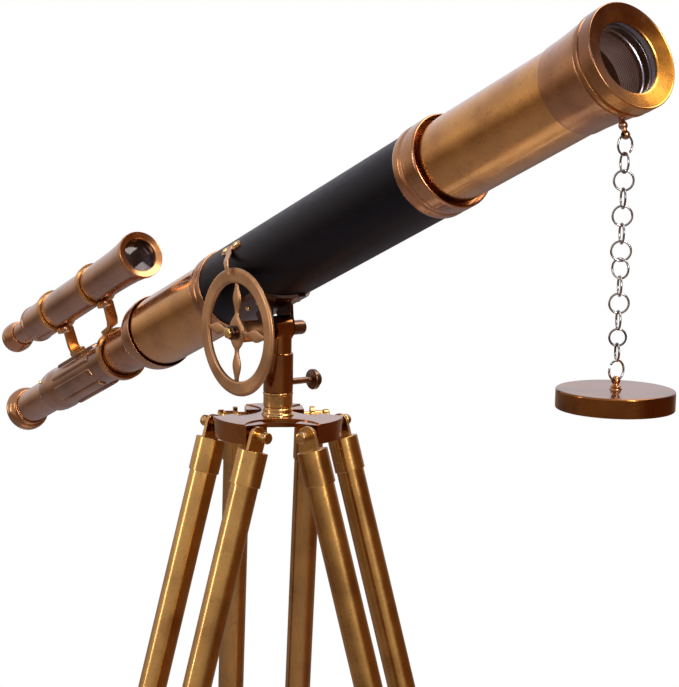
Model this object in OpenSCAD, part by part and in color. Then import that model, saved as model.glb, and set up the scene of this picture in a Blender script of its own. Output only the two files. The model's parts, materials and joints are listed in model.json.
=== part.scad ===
// Refracting telescope with a finder, on a mount with a handwheel and an extending tripod.
// Millimetres, +Z up. The origin is on the floor, on the upright axis of the tripod.
// The telescope points along +X and is tilted up. The handwheel is on the -Y side.

/* [Tripod] */
// Height of the head's top face above the floor
head_h = 1250; // [1150:10:1350]
// Angle of each leg from the upright axis
splay = 15.5; // [12:0.5:18]
// Radius of the circle that the leg hinges lie on
hinge_r = 46; // [44:1:48]
// Radius of the upper leg tubes
leg_tube_r = 12.6; // [11:0.2:13]
// Distance of each leg tube from the middle of its leg
leg_half_gap = 33.7; // [32:0.1:35]
// Length of the upper leg, from the hinge to the lower clamp
upper_leg = 640; // [560:10:680]
// Radius of the sliding lower leg tube
lower_tube_r = 11; // [9:0.5:12]

/* [Mount] */
// Height of the trunnion above the head's top face
trunnion_h = 78.5; // [76:0.5:90]
// Tilt of the telescope above the horizon
tilt = 23; // [0:1:40]
// Distance of the telescope's axis above the trunnion
axis_h = 56.2; // [55:0.1:60]
// Outer radius of the handwheel
wheel_r = 57.3; // [54:0.1:60]
// Position of the middle of the handwheel's rim along Y
wheel_y = -45; // [-48:0.5:-44]

/* [Telescope] */
// Radius of the leather-covered tube
leather_r = 37.2; // [36.8:0.1:37.6]
// Radius of the front brass tube
front_r = 34.6; // [34:0.1:34.8]
// Position of the front face of the objective flange along the axis
nose_s = 485; // [460:5:520]
// Outer radius of the objective flange
flange_r = 40; // [39:0.5:42]
// Radius of the clear opening in the objective flange
aperture_r = 26.7; // [24:0.1:29]

/* [Finder] */
// Distance of the finder's axis from the telescope's axis
finder_d = 74; // [72:1:80]
// Lean of the finder towards the handwheel side
finder_lean = 25.6; // [20:0.1:30]
// Radius of the finder tube
finder_r = 19.3; // [18.5:0.1:20]

/* [Lens cap] */
// Outer radius of the lens cap
cap_r = 42.5; // [42:0.5:44]
// Height of the lens cap
cap_h = 14; // [10:0.5:14]

/* [Hidden] */

// Running clearance of a shaft in its hole, and the gap between neighbouring fixed pieces
run_fit = 0.05;
seam = 0.05;
// Angle of leg i round the upright axis
function leg_az(i) = 270 + 120 * (i - 1);
// Foot tip: its radius and how far the leg reaches from its hinge to the floor
hinge_drop = 9;
foot_tip_r = 7;
leg_len = (head_h - hinge_drop) / cos(splay) - foot_tip_r * tan(splay);
pin_r = 3;
lobe_half_w = 27;
lobe_h = 18;
lobe_r = 59.3;
tongue_t = 4;
tongue_w = 16;
tongue_y = 36;
ferrule_top = 14;
ferrule_len = 31;
ferrule_r = 13.9;
clamp_h = 26;
guide_h = 16;
lower_top = 610;
screw_y = 27;
screw_z = 29;
foot_len = 62;

socket_r = 13.3;
socket_h = 21;
post_r = 8;
post_top = 50;
stem_r = 13.5;
stem_h = 36;
tongue_half = 8.7;
bolt_r = 4;
lug_in = 9.2;
lug_t = 3.6;
rim_w = 13.4;
rim_t = 4.4;

trunnion_z = head_h + trunnion_h;
cup_s = -512;
housing_s = -445;
collar_s = -285;
finder_front = -154;
finder_back = -400;
bracket_s = [-254, -347.5];
pad_in = [25.45, 24.25];
lug_angle = 156;

stud_s = 460;
stud_reach = 49;
ring_r = 7;
wire_r = 0.8;
link_pitch = 12.35;
link_angles = [0, 57, -33, 57, -33, 52, 8, -36, 57];
top_loop_r = 6.6;
low_loop_r = 6;
hook_loop_r = 6.2;
hook_r = 7.2;
loop_gap = 1.65;
chain_x = stud_s * cos(tilt) - axis_h * sin(tilt) + stud_reach * sin(tilt);
chain_top = trunnion_z + axis_h * cos(tilt) + stud_s * sin(tilt) - stud_reach * cos(tilt);
eight_top = chain_top - 2 * ring_r - len(link_angles) * link_pitch + loop_gap;
eight_bottom = eight_top - 2 * top_loop_r - 2 * low_loop_r + 0.3;
hook_top = eight_bottom + loop_gap;
hook_bottom = hook_top - 2 * hook_loop_r - 2 * hook_r + 0.3;
eye_r = 3.3;
eye_hole_r = 1.9;
cap_eye = 6.3;
cap_top = hook_bottom - cap_eye;

$fn = 96;

// ---- Helpers ----

// A leg's own frame: hinge at the origin, the leg along -Z, outwards along +X.
module in_leg(i) {
    rotate([0, 0, leg_az(i)])
        translate([hinge_r, 0, head_h - hinge_drop])
            rotate([0, -splay, 0])
                children();
}

// The telescope's frame: trunnion's foot on the optical axis at the origin, +X forwards.
module on_scope() {
    translate([0, 0, trunnion_z])
        rotate([0, -tilt, 0])
            translate([0, 0, axis_h])
                children();
}

// The finder's frame, beside and above the telescope, +X forwards.
module on_finder() {
    on_scope()
        rotate([finder_lean, 0, 0])
            translate([0, 0, finder_d])
                children();
}

// A body turned about the X axis from an outline of [radius, position] points.
module turned(outline) {
    rotate([0, 90, 0])
        rotate_extrude()
            polygon(outline);
}

// A tube along X from a to b.
module pipe(r_out, r_in, a, b) {
    turned([[r_in, a], [r_out, a], [r_out, b], [r_in, b]]);
}

// A cylinder along Y from y0 to y1, through the origin of X and Z.
module y_rod(r, y0, y1) {
    translate([0, y0, 0])
        rotate([-90, 0, 0])
            cylinder(r = r, h = y1 - y0);
}

// An upright ring of wire, its plane turned by the angle a from the XZ plane.
module wire_ring(r, a) {
    rotate([90, 0, a])
        rotate_extrude()
            translate([r, 0])
                circle(r = wire_r, $fn = 24);
}

// A lens with two bulging faces, its axis along X and its middle at the origin.
module lens(r, thick, bulge_r) {
    steps = 6;
    function face_x(y) = thick / 2 - bulge_r + sqrt(bulge_r * bulge_r - y * y);
    turned([
        for (k = [0:steps]) [r * k / steps, -face_x(r * k / steps)],
        for (k = [steps:-1:0]) [r * k / steps, face_x(r * k / steps)]
    ]);
}

// ---- Tripod ----

// Three lobes under a thin plate with a scooped edge between them.
module tripod_head() {
    plate_t = 4;
    scoop_r = 34;
    scoop_at = 54;
    color("saddlebrown")
        translate([0, 0, head_h])
            difference() {
                union() {
                    difference() {
                        translate([0, 0, -plate_t])
                            cylinder(r = lobe_r, h = plate_t);
                        for (i = [1:3])
                            rotate([0, 0, leg_az(i) + 60])
                                translate([scoop_at, 0, -plate_t - 1])
                                    cylinder(r = scoop_r, h = plate_t + 2);
                    }
                    for (i = [1:3])
                        rotate([0, 0, leg_az(i)])
                            intersection() {
                                translate([0, 0, -lobe_h])
                                    cylinder(r = lobe_r - 0.4, h = lobe_h - 1);
                                translate([30, -lobe_half_w, -lobe_h])
                                    cube([40, 2 * lobe_half_w, lobe_h]);
                            }
                }
                for (i = [1:3])
                    rotate([0, 0, leg_az(i)])
                        translate([hinge_r, 0, -hinge_drop])
                            y_rod(pin_r + 0.02, -lobe_half_w - 5, lobe_half_w + 5);
            }
}

// Socket with a groove and a stepped foot, and the post that the stem turns on.
module head_socket() {
    color("peru")
        translate([0, 0, head_h])
            rotate_extrude()
                polygon([[0, 0], [15, 0], [14.8, 1], [socket_r + 0.4, 2.2], [socket_r, 3],
                    [socket_r, 5.8], [socket_r - 0.8, 6.6], [socket_r - 0.8, 7.4],
                    [socket_r, 8.2], [socket_r, socket_h - 2.4],
                    [socket_r + 0.4, socket_h - 2], [socket_r + 0.4, socket_h - 0.6],
                    [socket_r, socket_h], [post_r, socket_h], [post_r, post_top - 1],
                    [post_r - 1, post_top], [0, post_top]]);
}

// One hinge pin with a nut and a ball on each end.
module hinge_pin() {
    head_y = 46;
    end_y = 52.4;
    y_rod(pin_r, 1 - end_y, end_y - 1);
    for (s = [-1, 1])
        scale([1, s, 1])
            rotate([-90, 0, 0])
                rotate_extrude()
                    polygon([[0, tongue_y + tongue_t / 2 + 0.4], [4.2, tongue_y + tongue_t / 2 + 0.4],
                        [4.2, head_y - 1], [3.6, head_y - 0.4], [4.8, head_y + 0.4],
                        [5.2, head_y + 1.4], [5.2, end_y - 1.4], [4.6, end_y - 0.5],
                        [3, end_y], [0, end_y]]);
}

module hinge_pins() {
    color("goldenrod")
        for (i = [1:3])
            rotate([0, 0, leg_az(i)])
                translate([hinge_r, 0, head_h - hinge_drop])
                    hinge_pin();
}

module leg_tubes(i) {
    color("darkgoldenrod")
        in_leg(i)
            for (s = [-1, 1])
                translate([0, s * leg_half_gap, -upper_leg - clamp_h / 2])
                    difference() {
                        cylinder(r = leg_tube_r, h = upper_leg + clamp_h / 2 - ferrule_top - 4);
                        translate([0, 0, -1])
                            cylinder(r = leg_tube_r - 1.6,
                                h = upper_leg + clamp_h / 2 - ferrule_top - 12);
                    }
}

// Ferrules on the leg tubes, each with the flat tongue that swings on the hinge pin.
module leg_ferrules(i) {
    color("darkgoldenrod")
        in_leg(i)
            for (s = [-1, 1]) {
                translate([0, s * leg_half_gap, -ferrule_top - ferrule_len])
                    difference() {
                        cylinder(r = ferrule_r, h = ferrule_len);
                        translate([0, 0, -1])
                            cylinder(r = leg_tube_r + seam, h = ferrule_len - 2.9);
                    }
                difference() {
                    union() {
                        translate([-tongue_w / 2, s * tongue_y - tongue_t / 2, -ferrule_top - 1])
                            cube([tongue_w, tongue_t, ferrule_top + 1]);
                        y_rod(tongue_w / 2, s * tongue_y - tongue_t / 2,
                            s * tongue_y + tongue_t / 2);
                    }
                    y_rod(pin_r + run_fit, s * tongue_y - tongue_t, s * tongue_y + tongue_t);
                }
            }
}

// Bracket that joins the two upper tubes and guides the lower tube.
module leg_clamp(i) {
    color("darkgoldenrod")
        in_leg(i)
            translate([0, 0, -upper_leg - clamp_h / 2])
                difference() {
                    union() {
                        for (s = [-1, 1])
                            translate([0, s * leg_half_gap, 0])
                                cylinder(r = leg_tube_r + 2.6, h = clamp_h);
                        cylinder(r = lower_tube_r + 4, h = clamp_h);
                        translate([-5, -leg_half_gap, 0])
                            cube([10, 2 * leg_half_gap, clamp_h]);
                        translate([lower_tube_r, 0, clamp_h / 2])
                            rotate([0, 90, 0])
                                cylinder(r = 6.5, h = 9);
                    }
                    for (s = [-1, 1])
                        translate([0, s * leg_half_gap, -1])
                            cylinder(r = leg_tube_r + seam, h = clamp_h + 2);
                    translate([0, 0, -1])
                        cylinder(r = lower_tube_r + run_fit, h = clamp_h + 2);
                    translate([lower_tube_r - 2, 0, clamp_h / 2])
                        rotate([0, 90, 0])
                            cylinder(r = 3 + run_fit, h = 20);
                }
}

// Thumbscrew of the lower clamp, pointing outwards.
module leg_thumbscrew(i) {
    color("peru")
        in_leg(i)
            translate([lower_tube_r + 0.4, 0, -upper_leg])
                rotate([0, 90, 0])
                    rotate_extrude()
                        polygon([[0, 0], [3, 0], [3, 14], [5, 14.6], [5, 16], [9.2, 17],
                            [9.5, 18], [9.5, 22], [9.2, 23], [4, 24], [0, 24]]);
}

// Yoke at the top of the lower tube, which slides on the two upper tubes.
module leg_guide(i) {
    color("darkgoldenrod")
        in_leg(i)
            translate([0, 0, -lower_top])
                difference() {
                    union() {
                        for (s = [-1, 1])
                            translate([0, s * leg_half_gap, 0])
                                cylinder(r = leg_tube_r + 2.4, h = guide_h);
                        cylinder(r = lower_tube_r + 3, h = guide_h);
                        translate([-4.5, -leg_half_gap, 0])
                            cube([9, 2 * leg_half_gap, guide_h]);
                    }
                    for (s = [-1, 1])
                        translate([0, s * leg_half_gap, -1])
                            cylinder(r = leg_tube_r + 2 * run_fit, h = guide_h + 2);
                    translate([0, 0, -1])
                        cylinder(r = lower_tube_r + seam, h = guide_h - 2);
                }
}

module lower_tube(i) {
    color("darkgoldenrod")
        in_leg(i)
            translate([0, 0, -leg_len + foot_len])
                difference() {
                    cylinder(r = lower_tube_r, h = leg_len - foot_len - lower_top + 12);
                    translate([0, 0, -1])
                        cylinder(r = lower_tube_r - 1.5, h = leg_len - foot_len - lower_top + 5);
                }
}

// Tapered foot, cut level with the floor.
module foot(i) {
    tip_drop = foot_tip_r * tan(splay);
    color("peru")
        intersection() {
            in_leg(i)
                translate([0, 0, -leg_len - 4])
                    rotate_extrude()
                        polygon([[0, 0], [foot_tip_r, 0], [foot_tip_r, 7], [5, 12], [8.5, 42],
                            [12.5, 50], [13, 56], [12, 60], [13.2, 62], [13.2, 76],
                            [lower_tube_r + seam, 76], [lower_tube_r + seam, foot_len + 3.9],
                            [0, foot_len + 3.9]]);
            rotate([0, 0, leg_az(i)])
                translate([hinge_r, -30, 0])
                    cube([leg_len, 60, 200]);
        }
}

// ---- Mount ----

// Collar that turns on the post, with a flat-sided tongue for the pivot above it.
module stem() {
    tongue_r = 12;
    color("saddlebrown")
        translate([0, 0, head_h])
            difference() {
                union() {
                    rotate_extrude()
                        polygon([[0, socket_h + 0.3], [stem_r - 0.3, socket_h + 0.3],
                            [stem_r, socket_h + 1], [stem_r, socket_h + stem_h - 0.8],
                            [stem_r - 0.8, socket_h + stem_h], [0, socket_h + stem_h]]);
                    intersection() {
                        union() {
                            cylinder(r = tongue_r, h = trunnion_h);
                            translate([0, 0, trunnion_h])
                                y_rod(tongue_r, -20, 20);
                        }
                        translate([-20, -tongue_half, socket_h + 5])
                            cube([40, 2 * tongue_half, trunnion_h]);
                    }
                }
                translate([0, 0, socket_h - 1])
                    cylinder(r = post_r + run_fit, h = post_top - socket_h + 1.5);
                translate([0, 0, trunnion_h])
                    y_rod(bolt_r + 0.02, -20, 20);
                translate([0, 0, screw_z])
                    y_rod(3 + run_fit, post_r - 2, 20);
            }
}

// Screw that clamps the stem on its post.
module azimuth_thumbscrew() {
    color("dimgray")
        translate([0, post_r + 0.4, head_h + screw_z])
            rotate([-90, 0, 0])
                rotate_extrude()
                    polygon([[0, 0], [3, 0], [3, screw_y - 0.4], [5.5, screw_y + 0.6],
                        [9, screw_y + 1.4], [9.5, screw_y + 2.4], [9.5, screw_y + 5.2],
                        [9, screw_y + 6], [6.4, screw_y + 6.4], [6.4, screw_y + 9],
                        [5.8, screw_y + 9.6], [0, screw_y + 10.2]]);
}

// Bolt through the tongue and both lugs; the handwheel turns on its outer end.
module pivot_bolt() {
    color("peru")
        translate([0, 0, trunnion_z])
            y_rod(bolt_r, -52, 20);
}

module pivot_nut() {
    nut_in = lug_in + lug_t + 0.4;
    color("saddlebrown")
        translate([0, 0, trunnion_z])
            rotate([-90, 0, 0])
                rotate_extrude()
                    polygon([[bolt_r + 0.02, nut_in], [6.6, nut_in], [6.6, 25], [5.9, 26.8],
                        [4, 28], [0, 28.4], [0, 20.4], [bolt_r + 0.02, 20.4]]);
}

// Outline of one spoke: a petal between a narrow neck and a narrow tip.
module spoke() {
    rim_in = wheel_r - rim_w;
    half = [[0, 4], [14, 3.2], [18, 2.2], [22, 3.6], [26, 5.2], [30, 5.9], [34, 5.2], [38, 3.6],
        [42, 2.3], [rim_in + 1, 2.2]];
    last = len(half) - 1;
    polygon(concat(half, [for (k = [0:last]) [half[last - k][0], -half[last - k][1]]]));
}

// Leaf in the middle of the wheel, pointed upwards and downwards.
module hub_leaf() {
    polygon([[16.5, 0], [13, 5], [7.5, 9.5], [2, 11.8], [-2, 11.8], [-7.5, 9.5], [-13, 5],
        [-16.5, 0], [-13, -5], [-7.5, -9.5], [-2, -11.8], [2, -11.8], [7.5, -9.5], [13, -5]]);
}

// Wheel with a bevelled flat rim, four spokes and a hub that reaches in to the saddle.
module handwheel() {
    half_t = rim_t / 2;
    hub_in = lug_in + lug_t + 0.4;
    color("peru")
        translate([0, wheel_y, trunnion_z])
            difference() {
                union() {
                    rotate([90, 0, 0])
                        rotate_extrude()
                            polygon([[wheel_r - rim_w, -half_t + 1], [wheel_r - rim_w + 1.4, -half_t],
                                [wheel_r - 1.4, -half_t], [wheel_r, -half_t + 1],
                                [wheel_r, half_t - 1.4], [wheel_r - 2.4, half_t],
                                [wheel_r - rim_w + 1.4, half_t], [wheel_r - rim_w, half_t - 1]]);
                    for (q = [0:3])
                        rotate([0, 90 * q, 0])
                            rotate([90, 0, 0])
                                translate([0, 0, -1.6])
                                    linear_extrude(3.2)
                                        spoke();
                    rotate([0, 90, 0])
                        rotate([90, 0, 0])
                            translate([0, 0, -2.6])
                                linear_extrude(4.8)
                                    hub_leaf();
                    y_rod(9.6, 2, -wheel_y - hub_in);
                }
                y_rod(bolt_r + run_fit, -20, -wheel_y);
            }
}

module handwheel_nut() {
    nut_in = 2.6 - wheel_y;
    color("gold")
        translate([0, 0, trunnion_z])
            rotate([90, 0, 0])
                rotate_extrude()
                    polygon([[bolt_r + 0.02, nut_in], [6.4, nut_in], [6.4, nut_in + 4.8],
                        [5.8, nut_in + 5.4], [4.9, nut_in + 5.8], [4.9, nut_in + 8],
                        [4.2, nut_in + 9], [0, nut_in + 9.4], [0, 52.4], [bolt_r + 0.02, 52.4]]);
}

// Leaf-shaped saddle that hugs the tube's underside, with two lugs down to the pivot.
module saddle() {
    shell_in = leather_r + 0.1;
    shell_out = leather_r + 2.6;
    lug_r = 8.4;
    leaf = [[-46, -4], [-40, -9], [-26, -24], [-14, -29], [14, -29], [26, -24], [40, -9],
        [46, -4], [46, 4], [40, 9], [26, 24], [14, 29], [-14, 29], [-26, 24], [-40, 9], [-46, 4]];
    color("saddlebrown")
        on_scope()
            difference() {
                union() {
                    intersection() {
                        pipe(shell_out, shell_in - 1, -50, 50);
                        translate([0, 0, -shell_out - 1])
                            linear_extrude(shell_out - 5)
                                polygon(leaf);
                    }
                    for (s = [-1, 1])
                        translate([0, s * (lug_in + lug_t / 2), 0])
                            intersection() {
                                union() {
                                    translate([0, 0, -axis_h])
                                        y_rod(lug_r, -lug_t / 2, lug_t / 2);
                                    translate([0, lug_t / 2, -axis_h])
                                        rotate([90, 0, 0])
                                            linear_extrude(lug_t)
                                                polygon([[-8.3, -1], [8.3, -1], [9, 8], [14, 24],
                                                    [-14, 24], [-9, 8]]);
                                }
                                translate([-20, -lug_t, -axis_h - 20])
                                    cube([40, 2 * lug_t, 20 + axis_h - 30]);
                            }
                }
                rotate([0, 90, 0])
                    translate([0, 0, -60])
                        cylinder(r = shell_in, h = 120);
                translate([0, 0, -axis_h])
                    y_rod(bolt_r + run_fit, -30, 30);
            }
}

// Strap: a T-shaped plate on the tube and an arm that ends over the handwheel's rim.
module strap() {
    plate_at = 54;
    plate_in = leather_r + 0.15;
    arm = [[-3, -31.2, 22.6, 4.4], [-2, -34.2, 19, 4.1], [2.5, -37.6, 15.2, 3.8],
        [7, -43, 10.6, 3.4], [11.5, -48.2, 6, 3], [14.6, -50.9, 0, 2.4], [15.2, -51, -7, 1.2]];
    color("peru")
        on_scope() {
            intersection() {
                pipe(plate_in + 1.6, plate_in, -18, 14);
                rotate([plate_at, 0, 0])
                    linear_extrude(60)
                        polygon([[-17, -1.3], [-15, -3.6], [-10, -4.6], [-6, -3], [2, -3], [6, -4.6],
                            [11, -3.6], [13, -1.3], [13, 1.3], [11, 3.6], [6, 4.6], [2, 3],
                            [-6, 3], [-10, 4.6], [-15, 3.6], [-17, 1.3]]);
            }
            for (k = [0:len(arm) - 2])
                hull()
                    for (p = [arm[k], arm[k + 1]])
                        translate([p[0] - p[3], p[1], p[2]])
                            rotate([0, 90, 0])
                                cylinder(r = 0.9, h = 2 * p[3], $fn = 16);
        }
}

// A round-headed screw: its head stands on radius r, at station s and angle a from the top.
module tube_screw(s, a, r, head_r, shank) {
    rotate([a, 0, 0])
        translate([s, 0, r])
            rotate_extrude()
                polygon([[0, -shank], [head_r / 2, -shank], [head_r / 2, 0], [head_r, 0],
                    [head_r * 0.94, head_r * 0.35], [head_r * 0.6, head_r * 0.62],
                    [0, head_r * 0.75]]);
}

// Small screws of the strap, saddle, focus housing and finder brackets.
module screws() {
    plate_top = leather_r + 1.8;
    saddle_top = leather_r + 2.65;
    color("gold") {
        on_scope() {
            for (s = [-11, 7])
                tube_screw(s, 54, plate_top, 2.6, 0.02);
            for (a = [-146, 146])
                for (s = [-9, 9])
                    tube_screw(s, a, saddle_top, 2.4, 0.02);
            tube_screw(housing_s + 6, 60, 23.1, 2.2, 0.02);
        }
        for (s = bracket_s)
            on_finder()
                rotate([lug_angle, 0, 0])
                    translate([s + 7.85, 0, finder_r + 4.4])
                        rotate([0, 90, 0])
                            rotate_extrude()
                                polygon([[0, 0], [3.6, 0], [4.1, 1], [4.1, 8], [3.2, 9.4], [0, 10]]);
    }
}

// ---- Telescope ----

module main_tube() {
    color("darkgoldenrod")
        on_scope()
            pipe(36, 35, -72, 268);
}

module leather_cover() {
    color("black")
        on_scope()
            pipe(leather_r, 36 + seam, -56, 252);
}

module front_collar() {
    color("peru")
        on_scope()
            turned([[36 + seam, 252.1], [38.4, 252.1], [39, 253], [39.5, 255], [39.5, 260],
                [38.9, 262], [38.3, 263], [38.3, 265], [38.9, 266], [39.5, 268], [39.5, 279],
                [39, 280.6], [38.2, 281], [37.7, 280.4], [37.6, 271], [front_r + seam, 271],
                [front_r + seam, 268 + seam], [36 + seam, 268 + seam]]);
}

module rear_collar() {
    color("peru")
        on_scope()
            turned([[36 + seam, -56.1], [38.2, -56.1], [38.6, -57.5], [38.8, -59.5], [38.4, -62],
                [37.6, -63.4], [37.6, -65], [38.2, -66.4], [38.4, -69], [38.2, -72], [37.4, -75],
                [35.6, -76], [34.9 + seam, -76], [34.9 + seam, -72.1], [36 + seam, -72.1]]);
}

module front_tube() {
    color("darkgoldenrod")
        on_scope()
            pipe(front_r, front_r - 1.4, 236, 467.5);
}

// Sleeve that flares out towards the objective flange.
module dew_sleeve() {
    color("sienna")
        on_scope()
            turned([[front_r + seam, 424], [35.1, 424], [35.5, 425], [35.8, 435], [36.6, 446],
                [37.8, 457], [38.6, 466.5], [front_r + seam, 466.5]]);
}

// Flange with a dished face, a groove behind its front ring and a shank in the tube.
module objective_flange() {
    color("sandybrown")
        on_scope()
            turned([[aperture_r, nose_s - 4], [aperture_r + 1, nose_s - 3.4],
                [flange_r - 1, nose_s - 0.2], [flange_r - 0.3, nose_s], [flange_r, nose_s - 0.6],
                [flange_r, nose_s - 10.4], [flange_r - 0.5, nose_s - 11.2],
                [flange_r - 1.6, nose_s - 11.6], [flange_r - 1.6, nose_s - 13],
                [flange_r - 0.5, nose_s - 13.4], [flange_r - 0.3, nose_s - 14.2],
                [flange_r - 0.3, nose_s - 16.6], [flange_r - 1, nose_s - 17.4],
                [32.9, nose_s - 17.4], [32.9, 440], [30.4, 440], [30.4, nose_s - 6],
                [aperture_r, nose_s - 6]]);
}

module objective_lens() {
    color("lightsteelblue", 0.4)
        on_scope()
            translate([nose_s - 9.9, 0, 0])
                lens(30, 7, 300);
}

// Ring that holds the objective lens from behind.
module lens_retainer() {
    color("saddlebrown")
        on_scope()
            turned([[27.4, 462], [30.2, 462], [30.2, 472.6], [27.6, 472.6], [27.6, 470.4],
                [28.4, 470], [28.4, 466], [27.4, 465.4]]);
}

module rear_tube() {
    color("darkgoldenrod")
        on_scope()
            pipe(34.9, 33.4, -214, -44);
}

// Open-lipped sleeve on the rear tube that tapers down to the focus housing.
module taper_sleeve() {
    color("peru")
        on_scope()
            turned([[34.9 + seam, -216], [34.9 + seam, -206], [36.1, -201], [36.4, -200], [37.2, -200.6],
                [37.3, -203], [37.1, -210], [36, -217], [33, -223.5], [28, -228.5], [24.4, -231.5],
                [23.6, -234], [23.6, collar_s + 2], [22.6, collar_s], [18.5, collar_s],
                [18.5, -238], [24, -228], [31, -219.5], [33.2, -216]]);
}

// Focus housing with two collars and eight long raised panels.
module focus_housing() {
    panels = 8;
    color("peru")
        on_scope()
            union() {
                turned([[18.7, collar_s - 0.2], [24.6, collar_s - 0.2], [25.4, collar_s - 1.4],
                    [25.4, collar_s - 6], [24.2, collar_s - 8], [22.4, collar_s - 11],
                    [21.6, collar_s - 16], [21.6, housing_s + 34], [22.6, housing_s + 28],
                    [23.4, housing_s + 22], [23, housing_s + 10], [22.2, housing_s + 3],
                    [21, housing_s], [18.7, housing_s]]);
                for (q = [0:panels - 1])
                    rotate([360 / panels * q + 22.5, 0, 0])
                        intersection() {
                            translate([housing_s + 38, -5.4, 15])
                                cube([collar_s - housing_s - 58, 10.8, 14]);
                            turned([[18.8, housing_s + 30], [21, housing_s + 36], [23.6, housing_s + 41],
                                [24.2, housing_s + 60], [24.2, collar_s - 40],
                                [23.6, collar_s - 24], [21, collar_s - 19], [18.8, collar_s - 14]]);
                        }
            }
}

module draw_tube() {
    color("rosybrown")
        on_scope()
            pipe(18.4, 17, cup_s - 2, -300);
}

module eyepiece_cup() {
    color("peru")
        on_scope()
            turned([[18.4 + seam, cup_s + 3], [19.8, cup_s + 3], [20.2, cup_s + 1.5], [19.6, cup_s],
                [20.4, cup_s - 1.2], [22.8, cup_s - 3.4], [24.2, cup_s - 6], [24.5, cup_s - 8.4],
                [23.7, cup_s - 9.6], [24.5, cup_s - 10.8], [24.2, cup_s - 13.6],
                [22.6, cup_s - 16], [20.4, cup_s - 17], [14, cup_s - 13], [8, cup_s - 11],
                [8, cup_s - 8], [16.8, cup_s - 8], [16.8, cup_s - 2.1], [18.4 + seam, cup_s - 2.1]]);
}

module eye_lens() {
    color("lightsteelblue", 0.4)
        on_scope()
            translate([cup_s + 0.4, 0, 0])
                lens(16.5, 6, 60);
}

// Pair of lenses inside the draw tube that turn the image upright.
module erector_lenses() {
    color("lightsteelblue", 0.4)
        on_scope()
            for (s = [-330, -400])
                translate([s, 0, 0])
                    lens(16.9, 6, 60);
}

// ---- Finder ----

// Finder tube with a flared front and a domed rear end.
module finder_tube() {
    color("rosybrown")
        on_finder()
            turned([[finder_r - 1.6, finder_front - 8], [16.4, finder_front - 8],
                [16.4, finder_front - 2.4], [17, finder_front - 1.6], [22.6, finder_front - 0.2],
                [23.1, finder_front], [23.5, finder_front - 1],
                [23.5, finder_front - 5.4], [22.8, finder_front - 6.4], [22, finder_front - 14],
                [20.6, finder_front - 28], [19.7, finder_front - 48], [finder_r, finder_front - 70],
                [finder_r, finder_back + 8], [20, finder_back + 7], [20, finder_back + 4],
                [18.6, finder_back + 1], [16, finder_back], [12.6, finder_back],
                [12.6, finder_back + 3], [finder_r - 1.4, finder_back + 9],
                [finder_r - 1.6, -220]]);
}

module finder_lens() {
    color("lightsteelblue", 0.4)
        on_finder()
            translate([finder_front - 12, 0, 0])
                lens(17.5, 6, 60);
}

// Two brackets: a ring round the finder and a flat arm that leans back to the telescope.
// The front one ends in a ring on the focus housing, the rear one in a foot on its panels.
module finder_brackets() {
    ring_in = finder_r + 0.6;
    ring_half = 2.8;
    arm_t = 3;
    arm_w = 12;
    arm_front = 1;
    lean_back = 33;
    arm_top = finder_d - ring_in + 1;
    swept_foot = [[-15, pad_in[0] + 3.2], [arm_t - lean_back, pad_in[0] + 2],
        [arm_t - lean_back, pad_in[0] - 4], [-lean_back, pad_in[0] - 4],
        [-lean_back, pad_in[0] + 5], [-17.4, pad_in[0] + 6.4]];
    plain_foot = [[-10, pad_in[1] + 5], [-3, pad_in[1] + 3], [-3, pad_in[1] - 4],
        [-17, pad_in[1] - 4], [-17, pad_in[1] + 3], [-14, pad_in[1] + 5]];
    color("peru")
        on_scope()
            for (k = [0:1])
                rotate([finder_lean, 0, 0])
                    translate([bracket_s[k], 0, 0]) {
                        translate([0, 0, finder_d])
                            turned([[ring_in, -ring_half], [ring_in + 2.4, -ring_half],
                                [ring_in + 2.4, ring_half], [ring_in, ring_half]]);
                        translate([ring_half - 1, 0, finder_d])
                            rotate([lug_angle, 0, 0])
                                translate([0, -5, ring_in + 0.9])
                                    cube([6, 10, 5]);
                        if (k == 0)
                            translate([-lean_back, 0, 0])
                                turned([[pad_in[k], -3], [pad_in[k] + 2.4, -3],
                                    [pad_in[k] + 2.4, 4], [pad_in[k], 4]]);
                        difference() {
                            translate([0, arm_w / 2, 0])
                                rotate([90, 0, 0])
                                    linear_extrude(arm_w)
                                        polygon(concat(
                                            [[arm_front - arm_t, arm_top], [arm_front, arm_top],
                                                [arm_front, arm_top - 5], [-9, pad_in[k] + 8.6]],
                                            k == 0 ? swept_foot : plain_foot,
                                            [[-12.6, pad_in[k] + 10.8],
                                                [arm_front - arm_t, arm_top - 3.5]]));
                            translate([-20, 0, finder_d])
                                rotate([0, 90, 0])
                                    cylinder(r = ring_in + 0.9, h = 40);
                            translate([-60, 0, 0])
                                rotate([0, 90, 0])
                                    cylinder(r = pad_in[k] + (k == 0 ? 1 : 0), h = 70);
                        }
                    }
}

module finder_draw_tube() {
    color("rosybrown")
        on_finder()
            pipe(12.5, 11.3, finder_back - 38, finder_back + 60);
}

module finder_eyepiece() {
    back = finder_back - 36;
    color("peru")
        on_finder()
            turned([[12.5 + seam, back + 4], [13.8, back + 4], [14.2, back + 1], [15.4, back - 3],
                [16.4, back - 8], [16.4, back - 12], [15.6, back - 13.2], [16.2, back - 14.4],
                [16, back - 18], [14.4, back - 20.6], [12.8, back - 21], [9, back - 18],
                [5.5, back - 16], [5.5, back - 12], [11.2, back - 12], [11.2, back - 2.1],
                [12.5 + seam, back - 2.1]]);
}

module finder_eye_lens() {
    color("lightsteelblue", 0.4)
        on_finder()
            translate([finder_back - 43, 0, 0])
                lens(10.9, 4, 40);
}

// ---- Chain and lens cap ----

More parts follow.
